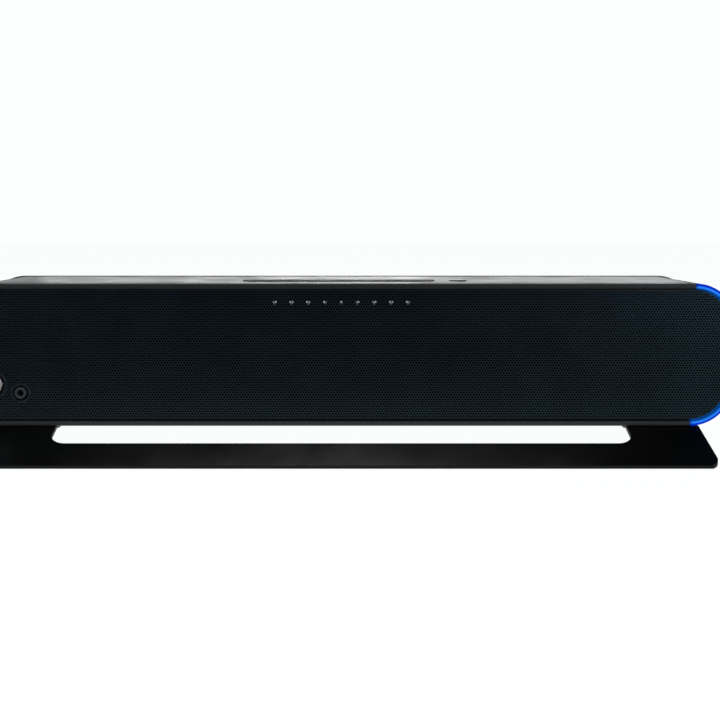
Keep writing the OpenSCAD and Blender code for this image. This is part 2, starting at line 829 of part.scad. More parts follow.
main_shell();
front_frame();
grille();
grille_scrim();
light_guide(-1);  // left_light_guide
light_guide(1);  // right_light_guide
led_strip(-1);  // left_led_strip
led_strip(1);  // right_led_strip
front_baffle();
baffle_screws();
front_io_bracket();
front_io_board();
encoder_housing();
encoder_nut();
headphone_jack();
indicator_board();
indicator_light_pipes();
basket(-1);  // left_basket
top_plate(-1);  // left_top_plate
magnet(-1);  // left_magnet
yoke(-1);  // left_yoke
surround(-1);  // left_surround
spider(-1);  // left_spider
cone(-1);  // left_cone
basket(1);  // right_basket
top_plate(1);  // right_top_plate
magnet(1);  // right_magnet
yoke(1);  // right_yoke
surround(1);  // right_surround
spider(1);  // right_spider
cone(1);  // right_cone
driver_screws();
key_board();
tact_switches();
main_board();
board_heatsink();
board_capacitors();
board_inductors();
board_chips();
board_connectors();
rear_cover();
rear_seal();
rear_screws();
radiator_surround();
radiator_plate();
aux_jack();
usb_port();
rear_io_board();
stand();
stand_screws();
stand_pads();
volume_knob();
encoder_shaft();
key(1);  // key_1
key(2);  // key_2
key(3);  // key_3
key(4);  // key_4
key(5);  // key_5
power_key();
speaker_leads();
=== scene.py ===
"""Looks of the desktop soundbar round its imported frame.

Blender lengths are in metres. Sizes named here are in mm: an inset is measured inwards from the cabinet's
outline, and a depth backwards from its front plane.
"""

import json
import math

import bmesh
import bpy
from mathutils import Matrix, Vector


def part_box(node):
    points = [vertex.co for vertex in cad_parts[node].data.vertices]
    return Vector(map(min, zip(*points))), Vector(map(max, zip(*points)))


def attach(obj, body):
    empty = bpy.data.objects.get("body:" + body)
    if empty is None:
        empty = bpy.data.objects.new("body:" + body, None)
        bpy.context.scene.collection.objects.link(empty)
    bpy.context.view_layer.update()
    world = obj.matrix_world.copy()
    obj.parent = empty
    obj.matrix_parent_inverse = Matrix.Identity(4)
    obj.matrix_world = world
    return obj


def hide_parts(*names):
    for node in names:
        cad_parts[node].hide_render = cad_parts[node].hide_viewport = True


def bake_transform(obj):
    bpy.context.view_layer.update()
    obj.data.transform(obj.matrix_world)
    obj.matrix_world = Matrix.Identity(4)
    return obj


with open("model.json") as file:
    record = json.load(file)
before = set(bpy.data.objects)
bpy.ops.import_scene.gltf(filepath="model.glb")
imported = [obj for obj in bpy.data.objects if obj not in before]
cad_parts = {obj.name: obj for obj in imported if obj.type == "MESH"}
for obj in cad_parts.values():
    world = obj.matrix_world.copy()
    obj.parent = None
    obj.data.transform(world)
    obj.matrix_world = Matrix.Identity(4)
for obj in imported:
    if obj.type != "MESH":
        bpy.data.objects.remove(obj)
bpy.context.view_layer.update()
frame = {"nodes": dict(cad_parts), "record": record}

MM = 0.001

# ---------- the frame's own measures, in mm ----------


def box_mm(node):
    """Lowest and highest corner of a CAD node, in mm."""
    low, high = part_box(node)
    return low / MM, high / MM


FRAME_LOW, FRAME_HIGH = box_mm("front_frame")
HALF_W = FRAME_HIGH.x
HALF_H = (FRAME_HIGH.z - FRAME_LOW.z) / 2
MID_Z = (FRAME_HIGH.z + FRAME_LOW.z) / 2
FRONT_Y = FRAME_LOW.y
TOP_Z = FRAME_HIGH.z

CORNER_R = 22.5
RIM_W = 3.2
GUIDE_D = 6.0
FRAME_D = 10.0
LEDGE_W = 5.5
SPIGOT = (2.8, 4.3, 11.5)
CORNER_X = HALF_W - CORNER_R
CORNER_Z = HALF_H - CORNER_R

# ---------- materials ----------

STUDIO_WHITE = (0.975, 1.0, 0.985, 1)
INDICATOR_GLOW = 0.34


def new_material(name, colour, roughness, metallic=0.0, **sockets):
    """A principled material. Extra sockets are set on the shader itself."""
    material = bpy.data.materials.new(name)
    material.use_nodes = True
    shader = shader_of(material)
    shader.inputs["Base Color"].default_value = (*colour, 1)
    shader.inputs["Roughness"].default_value = roughness
    shader.inputs["Metallic"].default_value = metallic
    for socket, value in sockets.items():
        shader.inputs[socket.replace("_", " ")].default_value = value
    return material


def add_node(material, kind, **values):
    """A node with its properties and inputs set by name."""
    node = material.node_tree.nodes.new(kind)
    for key, value in values.items():
        if hasattr(node, key):
            setattr(node, key, value)
        else:
            node.inputs[key.replace("_", " ")].default_value = value
    return node


def link(material, output, target):
    material.node_tree.links.new(output, target)


def shader_of(material):
    return material.node_tree.nodes["Principled BSDF"]


def add_object(name, data):
    """A new object in the scene."""
    made = bpy.data.objects.new(name, data)
    bpy.context.scene.collection.objects.link(made)
    return made


def coordinates(material, scale=(1, 1, 1)):
    """Object coordinates in metres, stretched by scale."""
    where = add_node(material, "ShaderNodeTexCoord")
    mapping = add_node(material, "ShaderNodeMapping")
    mapping.inputs["Scale"].default_value = scale
    link(material, where.outputs["Object"], mapping.inputs["Vector"])
    return mapping.outputs["Vector"]


def noise(material, vector, scale, detail=3.0):
    node = add_node(material, "ShaderNodeTexNoise", Scale=scale, Detail=detail, Roughness=0.55)
    link(material, vector, node.inputs["Vector"])
    return node.outputs["Fac"]


def spread(material, factor, low, high, start=0.3, end=0.7):
    """Maps a factor's start..end to low..high."""
    node = add_node(material, "ShaderNodeMapRange")
    node.inputs["From Min"].default_value = start
    node.inputs["From Max"].default_value = end
    node.inputs["To Min"].default_value = low
    node.inputs["To Max"].default_value = high
    link(material, factor, node.inputs["Value"])
    return node.outputs["Result"]


def mix_colours(material, factor, first, second):
    """A colour between two, each a tuple or a socket."""
    node = add_node(material, "ShaderNodeMix", data_type="RGBA")
    link(material, factor, node.inputs[0])
    for value, socket in ((first, node.inputs[6]), (second, node.inputs[7])):
        if isinstance(value, tuple):
            socket.default_value = (*value, 1)
        else:
            link(material, value, socket)
    return node.outputs[2]


def bump(material, height, distance):
    """Adds relief of the given height in metres to the shader's normal."""
    node = add_node(material, "ShaderNodeBump", Distance=distance, Strength=1.0)
    link(material, height, node.inputs["Height"])
    link(material, node.outputs["Normal"], shader_of(material).inputs["Normal"])


def vector_math(material, operation, first, second=(0, 0, 0)):
    """A vector operation on a socket and a constant."""
    node = add_node(material, "ShaderNodeVectorMath", operation=operation)
    link(material, first, node.inputs[0])
    node.inputs[1].default_value = second
    return node.outputs["Value" if operation == "LENGTH" else "Vector"]


def combine(material, operation, first, second):
    """An arithmetic operation on two number sockets."""
    node = add_node(material, "ShaderNodeMath", operation=operation)
    link(material, first, node.inputs[0])
    link(material, second, node.inputs[1])
    return node.outputs[0]


def moulded(name, dark, light, roughness, grain=9000.0, relief=0.00001, **sockets):
    """Moulded plastic or powder coat: a fine grain, and slow drifts of colour and gloss."""
    material = new_material(name, dark, roughness, **sockets)
    where = coordinates(material)
    slow = noise(material, where, 45.0, 4.0)
    fine = noise(material, where, grain, 2.0)
    link(material, mix_colours(material, spread(material, slow, 0, 1), dark, light),
         shader_of(material).inputs["Base Color"])
    link(material, spread(material, slow, roughness * 0.88, roughness * 1.14),
         shader_of(material).inputs["Roughness"])
    bump(material, fine, relief)
    return material


def bare_metal(name, colour, roughness, metallic=1.0, stretch=(1, 1, 1)):
    """Metal with a fine grain, drawn out along an axis that stretch scales below 1."""
    material = new_material(name, colour, roughness, metallic)
    lines = noise(material, coordinates(material, stretch), 1200.0, 3.0)
    slow = noise(material, coordinates(material), 90.0, 3.0)
    darker = tuple(c * 0.82 for c in colour)
    link(material, mix_colours(material, spread(material, slow, 0, 1), colour, darker),
         shader_of(material).inputs["Base Color"])
    link(material, spread(material, lines, roughness * 0.8, roughness * 1.25),
         shader_of(material).inputs["Roughness"])
    bump(material, lines, 0.000004)
    return material


def woven(name, dark, light, roughness, pitch):
    """Plain weave of the given thread pitch in metres."""
    material = new_material(name, dark, roughness)
    where = coordinates(material)
    turns = 2 * math.pi / pitch / 20
    waves = []
    for axis in ("X", "Z"):
        wave = add_node(material, "ShaderNodeTexWave", bands_direction=axis, Scale=turns, Distortion=0.6)
        link(material, where, wave.inputs["Vector"])
        waves.append(wave.outputs["Fac"])
    height = combine(material, "MAXIMUM", *waves)
    link(material, mix_colours(material, height, dark, light), shader_of(material).inputs["Base Color"])
    shader_of(material).inputs["Specular IOR Level"].default_value = 0.1
    bump(material, height, 0.00006)
    return material


def diffuser_material():
    """Lit acrylic: the flat front face is brighter than the rounded edge and the slope beside it."""
    material = new_material("light_diffuser", (0.002, 0.01, 0.08), 0.35, Specular_IOR_Level=0.04)
    where = add_node(material, "ShaderNodeTexCoord").outputs["Object"]
    centred = vector_math(material, "SUBTRACT", where, (0, 0, MID_Z * MM))
    folded = vector_math(material, "ABSOLUTE", centred)
    past = vector_math(material, "SUBTRACT", folded, (CORNER_X * MM, 0, CORNER_Z * MM))
    flat = vector_math(material, "MULTIPLY", vector_math(material, "MAXIMUM", past), (1, 0, 1))
    radius = vector_math(material, "LENGTH", flat)
    inner = spread(material, radius, 0, 1, (CORNER_R - 2.7) * MM, (CORNER_R - 2.1) * MM)
    outer = spread(material, radius, 0, 1, (CORNER_R - 1.6) * MM, (CORNER_R - 1.2) * MM)
    colour = mix_colours(material, inner, (0.0, 0.045, 0.20), (0.020, 0.22, 0.98))
    colour = mix_colours(material, outer, colour, (0.0, 0.028, 0.50))
    streaks = noise(material, coordinates(material), 160.0, 2.0)
    link(material, colour, shader_of(material).inputs["Emission Color"])
    path = add_node(material, "ShaderNodeLightPath")
    spill = spread(material, path.outputs["Is Camera Ray"], 0.2, 1.0, 0, 1)
    from_end = add_node(material, "ShaderNodeSeparateXYZ")
    link(material, past, from_end.inputs[0])
    faded = spread(material, from_end.outputs["X"], 0.25, 1.0, 0, 1.5 * MM)
    strength = spread(material, streaks, 0.95, 1.10)
    for factor in (spill, faded):
        strength = combine(material, "MULTIPLY", strength, factor)
    link(material, strength, shader_of(material).inputs["Emission Strength"])
    return material


def light_pipe_material():
    """Faintly cloudy acrylic, lit white from behind."""
    material = new_material("light_pipe", (0.85, 0.88, 0.92), 0.35)
    cloudy = noise(material, coordinates(material), 1500.0)
    link(material, mix_colours(material, cloudy, (0.80, 0.86, 0.95), (1.0, 1.0, 1.0)),
         shader_of(material).inputs["Emission Color"])
    shader_of(material).inputs["Emission Strength"].default_value = INDICATOR_GLOW
    return material


MATERIALS = {
    "cabinet_plastic": moulded("cabinet_plastic", (0.012, 0.0125, 0.014), (0.018, 0.0185, 0.020), 0.30,
                               relief=0.000003),
    "frame_plastic": moulded("frame_plastic", (0.0410, 0.0395, 0.0400), (0.0470, 0.0455, 0.0460), 0.34,
                             Specular_Tint=(0.85, 0.95, 1.0, 1)),
    "grille_paint": moulded("grille_paint", (0.0092, 0.0138, 0.0184), (0.0120, 0.0175, 0.0230), 0.34,
                            grain=14000.0, relief=0.000006, Specular_IOR_Level=0.85,
                            Specular_Tint=(0.5, 0.78, 1.0, 1)),
    # Painted shade: a near-black paint laid on the grille's hole walls and the rim's upward slope, where
    # shade falls.
    "painted_shade_dark": moulded("painted_shade_dark", (0.0012, 0.0016, 0.0022), (0.002, 0.0026, 0.0034), 0.8,
                           Specular_IOR_Level=0.15),
    "light_diffuser": diffuser_material(),
    "light_pipe": light_pipe_material(),
    "scrim_cloth": woven("scrim_cloth", (0.0004, 0.0005, 0.0007), (0.0015, 0.0018, 0.0022), 0.95, 0.0003),
    "led_tape": moulded("led_tape", (0.72, 0.72, 0.66), (0.80, 0.80, 0.74), 0.55),
    # Also laid on the grille's plain band below the holes as painted shade.
    "inner_plastic": moulded("inner_plastic", (0.010, 0.010, 0.011), (0.016, 0.016, 0.018), 0.6),
    "screw_steel": bare_metal("screw_steel", (0.16, 0.16, 0.17), 0.36),
    "circuit_board": moulded("circuit_board", (0.008, 0.075, 0.028), (0.014, 0.11, 0.045), 0.32,
                             grain=2500.0),
    "encoder_metal": bare_metal("encoder_metal", (0.42, 0.43, 0.45), 0.42),
    "socket_plastic": moulded("socket_plastic", (0.070, 0.074, 0.082), (0.090, 0.095, 0.105), 0.28),
    "basket_steel": moulded("basket_steel", (0.016, 0.016, 0.018), (0.024, 0.024, 0.027), 0.5),
    "plated_steel": bare_metal("plated_steel", (0.45, 0.46, 0.48), 0.35),
    "ferrite": moulded("ferrite", (0.030, 0.029, 0.029), (0.05, 0.048, 0.048), 0.62, grain=5000.0),
    "surround_rubber": moulded("surround_rubber", (0.010, 0.010, 0.011), (0.016, 0.016, 0.017), 0.62),
    "spider_cloth": woven("spider_cloth", (0.30, 0.18, 0.07), (0.48, 0.30, 0.13), 0.85, 0.0006),
    "cone_paper": moulded("cone_paper", (0.014, 0.014, 0.016), (0.026, 0.026, 0.028), 0.8, grain=2500.0,
                          relief=0.00004),
    "switch_metal": bare_metal("switch_metal", (0.42, 0.42, 0.43), 0.35),
    "heatsink_aluminium": bare_metal("heatsink_aluminium", (0.55, 0.56, 0.58), 0.4, stretch=(0.1, 1, 1)),
    "capacitor_sleeve": moulded("capacitor_sleeve", (0.010, 0.012, 0.07), (0.015, 0.018, 0.10), 0.3),
    "ferrite_core": moulded("ferrite_core", (0.06, 0.06, 0.065), (0.09, 0.09, 0.095), 0.6),
    "chip_epoxy": moulded("chip_epoxy", (0.008, 0.008, 0.009), (0.013, 0.013, 0.015), 0.45),
    "connector_nylon": moulded("connector_nylon", (0.60, 0.56, 0.44), (0.70, 0.66, 0.54), 0.45),
    "rear_plastic": moulded("rear_plastic", (0.009, 0.0095, 0.0105), (0.014, 0.0145, 0.016), 0.46,
                            grain=5200.0, relief=0.00002),
    "seal_foam": moulded("seal_foam", (0.018, 0.018, 0.018), (0.028, 0.028, 0.028), 0.9, grain=3500.0),
    "radiator_composite": moulded("radiator_composite", (0.015, 0.0155, 0.017), (0.022, 0.023, 0.025), 0.36),
    "line_in_plastic": moulded("line_in_plastic", (0.034, 0.036, 0.040), (0.045, 0.047, 0.052), 0.28),
    "usb_steel": bare_metal("usb_steel", (0.50, 0.51, 0.53), 0.3),
    "stand_paint": moulded("stand_paint", (0.0012, 0.0012, 0.0012), (0.0018, 0.0018, 0.0018), 0.40,
                           grain=6500.0, relief=0.000012, Specular_IOR_Level=0.2),
    "pad_rubber": moulded("pad_rubber", (0.010, 0.010, 0.010), (0.015, 0.015, 0.015), 0.8, grain=4000.0),
    "knob_metal": bare_metal("knob_metal", (0.80, 0.81, 0.83), 0.42, metallic=0.5),
    "shaft_steel": bare_metal("shaft_steel", (0.5, 0.5, 0.52), 0.3),
    "key_plastic": moulded("key_plastic", (0.006, 0.006, 0.0065), (0.009, 0.009, 0.010), 0.40,
                           Specular_IOR_Level=0.3),
    "power_key_plastic": moulded("power_key_plastic", (0.022, 0.023, 0.025), (0.030, 0.031, 0.034), 0.26),
    "lead_insulation": moulded("lead_insulation", (0.24, 0.012, 0.012), (0.34, 0.02, 0.02), 0.45),
}


# ---------- mesh helpers ----------

SHARP_ANGLE = 35.0


def place(x, depth, z):
    """A point from x, depth behind the front plane and height, all in mm."""
    return Vector((x * MM, (FRONT_Y + depth) * MM, z * MM))


def in_mm(point):
    """The x and height in mm of a point in metres."""
    return point.x / MM, point.z / MM


def arc(centre, radius, start, end, steps=10):
    """Points on an arc from one angle to another, in degrees."""
    angles = [math.radians(start + (end - start) * i / steps) for i in range(steps + 1)]
    return [(centre[0] + radius * math.cos(a), centre[1] + radius * math.sin(a)) for a in angles]


def make_piece(name, vertices, faces, slot, body="cabinet", replaces=()):
    """A piece from its mesh. With no body, it is left unattached."""
    mesh = bpy.data.meshes.new(name)
    mesh.from_pydata([tuple(v) for v in vertices], [], faces)
    mesh.validate()
    mesh.update()
    piece = add_object(name, mesh)
    shade(piece)
    mesh.materials.append(MATERIALS[slot])
    if body:
        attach(piece, body)
    if replaces:
        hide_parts(*replaces)
    return piece


def shade(piece):
    """Smooth shading with flat faces kept flat."""
    piece.data.shade_smooth()
    piece.data.set_sharp_from_angle(angle=math.radians(SHARP_ANGLE))
    weighted = piece.modifiers.new("weighted", "WEIGHTED_NORMAL")
    weighted.weight = 80
    weighted.keep_sharp = True


def outward(mesh):
    """Turns every face of a closed mesh to look outwards."""
    work = bmesh.new()
    work.from_mesh(mesh)
    bmesh.ops.recalc_face_normals(work, faces=work.faces)
    work.to_mesh(mesh)
    work.free()


def end_outline(side, step, margin):
    """Directions round one end, from the top's edge to the bottom's: (corner centre, unit vector)."""
    angles = [step * i for i in range(int(90 / step) + 1)]
    found = [((CORNER_X + margin, CORNER_Z), (0.0, 1.0))]
    found += [((CORNER_X, CORNER_Z), (math.sin(math.radians(a)), math.cos(math.radians(a))))
              for a in angles if a > 0]
    found += [((CORNER_X, -CORNER_Z), (math.cos(math.radians(a)), -math.sin(math.radians(a))))
              for a in angles if a < 90]
    found.append(((CORNER_X + margin, -CORNER_Z), (0.0, -1.0)))
    return [((side * c[0], c[1]), (side * n[0], n[1])) for c, n in found]


def full_outline():
    """The whole outline as one closed run."""
    return end_outline(1, 6.0, 0.0) + end_outline(-1, 6.0, 0.0)[::-1]


def swept(outline, profile, closed):
    """Carries a closed profile of (inset, depth) points along the cabinet's outline."""
    run = [((c[0], MID_Z + c[1]), n) for c, n in outline]
    return carried(run, [(CORNER_R - inset, depth) for inset, depth in profile], closed)


def carried(outline, profile, closed):
    """Carries a closed profile of (distance, depth) points along a run. Returns vertices and faces."""
    count = len(profile)
    vertices = [place(c[0] + reach * n[0], depth, c[1] + reach * n[1])
                for c, n in outline for reach, depth in profile]
    spans = len(outline) if closed else len(outline) - 1
    faces = []
    for i in range(spans):
        here, there = i * count, ((i + 1) % len(outline)) * count
        faces += [(here + k, here + (k + 1) % count, there + (k + 1) % count, there + k)
                  for k in range(count)]
    if not closed:
        last = (len(outline) - 1) * count
        faces.append(tuple(range(count))[::-1])
        faces.append(tuple(last + k for k in range(count)))
    return vertices, faces


def rounded_rectangle(low, high, radii):
    """A closed profile from low to high (inset, depth), with a radius for each corner: outer front,
    inner front, inner back, outer back."""
    (a0, b0), (a1, b1) = low, high
    corners = [((a0, b0), (1, 1), 180), ((a1, b0), (-1, 1), 270),
               ((a1, b1), (-1, -1), 0), ((a0, b1), (1, -1), 90)]
    points = []
    for ((a, b), (sa, sb), start), radius in zip(corners, radii):
        if radius == 0:
            points.append((a, b))
        else:
            points += arc((a + sa * radius, b + sb * radius), radius, start, start + 90, 5)
    return points


def add_island(vertices, faces, more_vertices, more_faces):
    """Adds one closed mesh to another, both as vertices and faces."""
    offset = len(vertices)
    vertices += more_vertices
    faces += [tuple(offset + i for i in face) for face in more_faces]


def lathe(profile, x, z, steps, radius_at=None):
    """Turns (radius, depth) points about a front-to-back axis. radius_at may vary the radius by angle."""
    vertices, faces = [], []
    count = len(profile)
    for i in range(steps):
        angle = 2 * math.pi * i / steps
        for k, (radius, depth) in enumerate(profile):
            r = radius_at(k, radius, angle) if radius_at else radius
            vertices.append(place(x + r * math.cos(angle), depth, z + r * math.sin(angle)))
        j = (i + 1) % steps
        faces += [(i * count + k, i * count + k + 1, j * count + k + 1, j * count + k)
                  for k in range(count - 1)]
    for k, last in ((0, False), (count - 1, True)):
        if profile[k][0] > 0.001:
            ring = [i * count + k for i in range(steps)]
            faces.append(tuple(ring if last else ring[::-1]))
    return vertices, faces


# ---------- front frame and light guides ----------

OUTER_ROUND = 0.9
FACE_W = 2.45
SLOPE_D = 2.2
GUIDE_LAP = 0.1


def rim_profile():
    """A rounded outer edge, a narrow flat face, then a steep slope down to the grille."""
    outer = arc((OUTER_ROUND, OUTER_ROUND), OUTER_ROUND, 180, 270, 5)
    edge = [(FACE_W - 0.3, 0), (FACE_W - 0.08, 0.06), (FACE_W + 0.08, 0.25)]
    return outer + edge + [(RIM_W, SLOPE_D), (RIM_W, GUIDE_D), (0, GUIDE_D)]


RIM_PROFILE = rim_profile()


def front_frame():
    """The rim, the ledge behind the grille, and the spigot that fits in the shell."""
    ledge = rounded_rectangle((0, GUIDE_D), (LEDGE_W, FRAME_D), (0, 0.3, 0, 0.35))
    vertices, faces = swept(full_outline(), ledge, True)
    outer, inner, back = SPIGOT
    root = FRAME_D - 0.2
    spigot = [(outer, root), (inner, root), (inner, back), (outer, back)]
    add_island(vertices, faces, *swept(full_outline(), spigot, True))
    for up in (1, -1):
        run = [((x, up * CORNER_Z), (0.0, up)) for x in (-CORNER_X + GUIDE_LAP, 0.0, CORNER_X - GUIDE_LAP)]
        add_island(vertices, faces, *swept(run, RIM_PROFILE, False))
    piece = make_piece("front_frame_rim", vertices, faces, "frame_plastic", replaces=["front_frame"])
    outward(piece.data)
    # Painted shade: the rim's upward slope down to the grille takes the near-black paint, standing in for
    # the shadow in the gap.
    piece.data.materials.append(MATERIALS["painted_shade_dark"])
    for face in piece.data.polygons:
        painted_shade_slope = -0.8 < face.normal.y < -0.2 and face.normal.z > 0.2
        face.material_index = int(painted_shade_slope and depth_inside(*in_mm(face.center), FACE_W) > 0.2)


def light_guides():
    """The lit lens round each end."""
    for side, word in ((-1, "left"), (1, "right")):
        vertices, faces = swept(end_outline(side, 3.0, GUIDE_LAP), RIM_PROFILE, False)
        name = f"{word}_light_guide"
        piece = make_piece(f"{name}_lens", vertices, faces, "light_diffuser", replaces=[name])
        outward(piece.data)


# ---------- grille ----------

HOLE_PITCH = 1.5
HOLE_R = 0.56
GRILLE_INSET = 3.5
GRILLE_D = 2.5
GRILLE_T = 0.8
FIRST_ROW_DROP = 4.6
LAST_ROW_Z = 2 * MID_Z - TOP_Z + 4.2
PLAIN_EDGE = 0.7
KNOB_LOW, KNOB_HIGH = box_mm("volume_knob")
KNOB = ((KNOB_LOW.x + KNOB_HIGH.x) / 2, (KNOB_LOW.z + KNOB_HIGH.z) / 2)
JACK_LOW, JACK_HIGH = box_mm("headphone_jack")
JACK = ((JACK_LOW.x + JACK_HIGH.x) / 2, (JACK_LOW.z + JACK_HIGH.z) / 2)
KNOB_OPENING = 6.5
JACK_OPENING = 3.9
COLLAR_W = 0.55


def depth_inside(x, z, inset):
    """How far a point is inside the outline at an inset, in mm; negative outside."""
    px, pz = abs(x) - CORNER_X, abs(z - MID_Z) - CORNER_Z
    beyond = math.hypot(max(px, 0), max(pz, 0)) + min(max(px, pz), 0)
    return CORNER_R - inset - beyond


def on_outline(x, z, inset):
    """The nearest point of the outline at an inset."""
    px, pz = abs(x) - CORNER_X, abs(z - MID_Z) - CORNER_Z
    reach = CORNER_R - inset
    if px > 0 and pz > 0:
        scale = reach / math.hypot(px, pz)
        px, pz = px * scale, pz * scale
    elif px > pz:
        px = reach
    else:
        pz = reach
    return math.copysign(CORNER_X + px, x), MID_Z + math.copysign(CORNER_Z + pz, z - MID_Z)


def on_circle(x, z, centre, radius):
    """The point of a circle in line with a point."""
    dx, dz = x - centre[0], z - centre[1]
    scale = radius / math.hypot(dx, dz)
    return centre[0] + dx * scale, centre[1] + dz * scale


def hexagon(x, z, radius):
    return arc((x, z), radius, 30, 330, 5)


def lattice_cells(pitch, top_z, inset, openings):
    """Six-sided cells that fill the outline, as {(column, row): (centre, corners)}, with the cells at an
    edge drawn out to that edge. openings are (centre, radius)."""
    row_pitch = pitch * math.sqrt(3) / 2
    columns = int(HALF_W / pitch) + 2
    rows = int(2 * HALF_H / row_pitch) + 4
    kept, edges = {}, {}

    def key(corner):
        return round(corner[0] * 20), round(corner[1] * 20)

    for j in range(-2, rows):
        for i in range(-columns, columns + 1):
            x, z = (i + 0.5 * (j % 2)) * pitch, top_z - j * row_pitch
            corners = hexagon(x, z, pitch / math.sqrt(3))
            hidden = None
            if depth_inside(x, z, inset) <= 0:
                hidden = "outline"
            for opening in openings:
                if math.hypot(x - opening[0][0], z - opening[0][1]) <= opening[1]:
                    hidden = opening
            if hidden is None:
                kept[i, j] = ((x, z), corners)
            else:
                edges.update((key(c), hidden) for c in corners)
    for index, (centre, corners) in kept.items():
        moved = []
        for corner in corners:
            edge = edges.get(key(corner))
            if edge == "outline":
                corner = on_outline(*corner, inset)
            elif edge is not None:
                corner = on_circle(*corner, *edge)
            moved.append(corner)
        kept[index] = (centre, moved)
    return kept


def sheet_from_cells(cells, hole_radius, depth, thickness):
    """A closed sheet of the cells, each pierced where hole_radius(centre) is above 0."""
    flat, index, faces = [], {}, []

    def vertex(x, z):
        k = (round(x, 4), round(z, 4))
        if k not in index:
            index[k] = len(flat)
            flat.append((x, z))
        return index[k]

    for centre, corners in cells:
        ring = [vertex(*c) for c in corners]
        radius = hole_radius(centre)
        if radius > 0:
            hole = [vertex(*c) for c in hexagon(*centre, radius)]
            faces += [(ring[k], ring[(k + 1) % 6], hole[(k + 1) % 6], hole[k]) for k in range(6)]
        else:
            faces.append(tuple(ring))
    used = dict.fromkeys(pair for face in faces for pair in zip(face, face[1:] + face[:1]))
    count = len(flat)
    walls = [(b, a, a + count, b + count) for a, b in used if (b, a) not in used]
    vertices = [place(x, depth, z) for x, z in flat] + [place(x, depth + thickness, z) for x, z in flat]
    return vertices, faces + [tuple(i + count for i in face[::-1]) for face in faces] + walls


def grille():
    """The perforated sheet in three panels, and its folded flange with the two collars."""
    openings = [(KNOB, KNOB_OPENING), (JACK, JACK_OPENING)]
    cells = lattice_cells(HOLE_PITCH, TOP_Z - FIRST_ROW_DROP, GRILLE_INSET,
                          [(place_at, radius + COLLAR_W) for place_at, radius in openings])

    def hole_radius(centre):
        x, z = centre
        clear = depth_inside(x, z, GRILLE_INSET) > PLAIN_EDGE and z > LAST_ROW_Z
        for opening, radius in openings:
            clear = clear and math.hypot(x - opening[0], z - opening[1]) > radius + COLLAR_W + HOLE_PITCH / 2
        return HOLE_R if clear else 0

    third = HALF_W / 3
    panels = (("left", -HALF_W, -third), ("middle", -third, third), ("right", third, HALF_W))
    for word, low, high in panels:
        chosen = [cell for cell in cells.values() if low <= cell[0][0] < high]
        vertices, faces = sheet_from_cells(chosen, hole_radius, GRILLE_D, GRILLE_T)
        piece = make_piece(f"grille_{word}", vertices, faces, "grille_paint", replaces=["grille"])
        piece.modifiers.clear()
        piece.data.shade_flat()
        # Painted shade: the hole walls and the sheet's edge walls take the near-black paint, standing in for
        # the shade inside the holes.
        piece.data.materials.append(MATERIALS["painted_shade_dark"])
        # Painted shade: the plain band below the last row of holes takes the duller, darker inner plastic,
        # standing in for the shade where the sheet folds into its flange.
        piece.data.materials.append(MATERIALS["inner_plastic"])
        for face in piece.data.polygons:
            painted_shade_band = face.center.z / MM < LAST_ROW_Z
            face.material_index = 1 if abs(face.normal.y) < 0.5 else 2 * int(painted_shade_band)
    front, back = GRILLE_D + GRILLE_T, GUIDE_D - 0.2
    inner = GRILLE_INSET + GRILLE_T
    skirt = [(GRILLE_INSET, front), (inner, front), (inner, back), (GRILLE_INSET, back)]
    vertices, faces = swept(full_outline(), skirt, True)
    for (x, z), radius in openings:
        add_island(vertices, faces, *collar(x, z, radius))
    piece = make_piece("grille_flange", vertices, faces, "grille_paint", replaces=["grille"])
    outward(piece.data)


def collar(x, z, radius):
    """A countersunk ring round an opening."""
    rim, back = radius + COLLAR_W, GRILLE_D + GRILLE_T + 0.1
    section = [(rim, GRILLE_D - 0.02), (rim - 0.1, GRILLE_D - 0.05), (radius + 0.05, GRILLE_D + 0.25),
               (radius, GRILLE_D + 0.35), (radius, back), (rim, back)]
    vertices, faces = lathe(section + section[:1], x, z, 72)
    return vertices, [face for face in faces if len(face) == 4]


def scrim():
    """The acoustic cloth, stretched flat behind the grille."""
    openings = [(KNOB, KNOB_OPENING + 1.5), (JACK, JACK_OPENING + 1.0)]
    inset = GRILLE_INSET + GRILLE_T + 0.6
    cells = lattice_cells(4.0, TOP_Z - 8.0, inset, openings)
    depth = GRILLE_D + GRILLE_T + 0.25
    vertices, faces = sheet_from_cells(cells.values(), lambda centre: 0, depth, 0.2)
    piece = make_piece("grille_cloth", vertices, faces, "scrim_cloth", replaces=["grille_scrim"])


# ---------- volume knob ----------

KNOB_FRONT = KNOB_LOW.y - FRONT_Y
KNOB_BACK = KNOB_HIGH.y - FRONT_Y
KNOB_R = (KNOB_HIGH.x - KNOB_LOW.x) / 2
KNOB_ROUND = 2.0
FLUTES = 60
FLUTE_D = 0.12
SHAFT_R = 3.1
MARK_R = 0.5


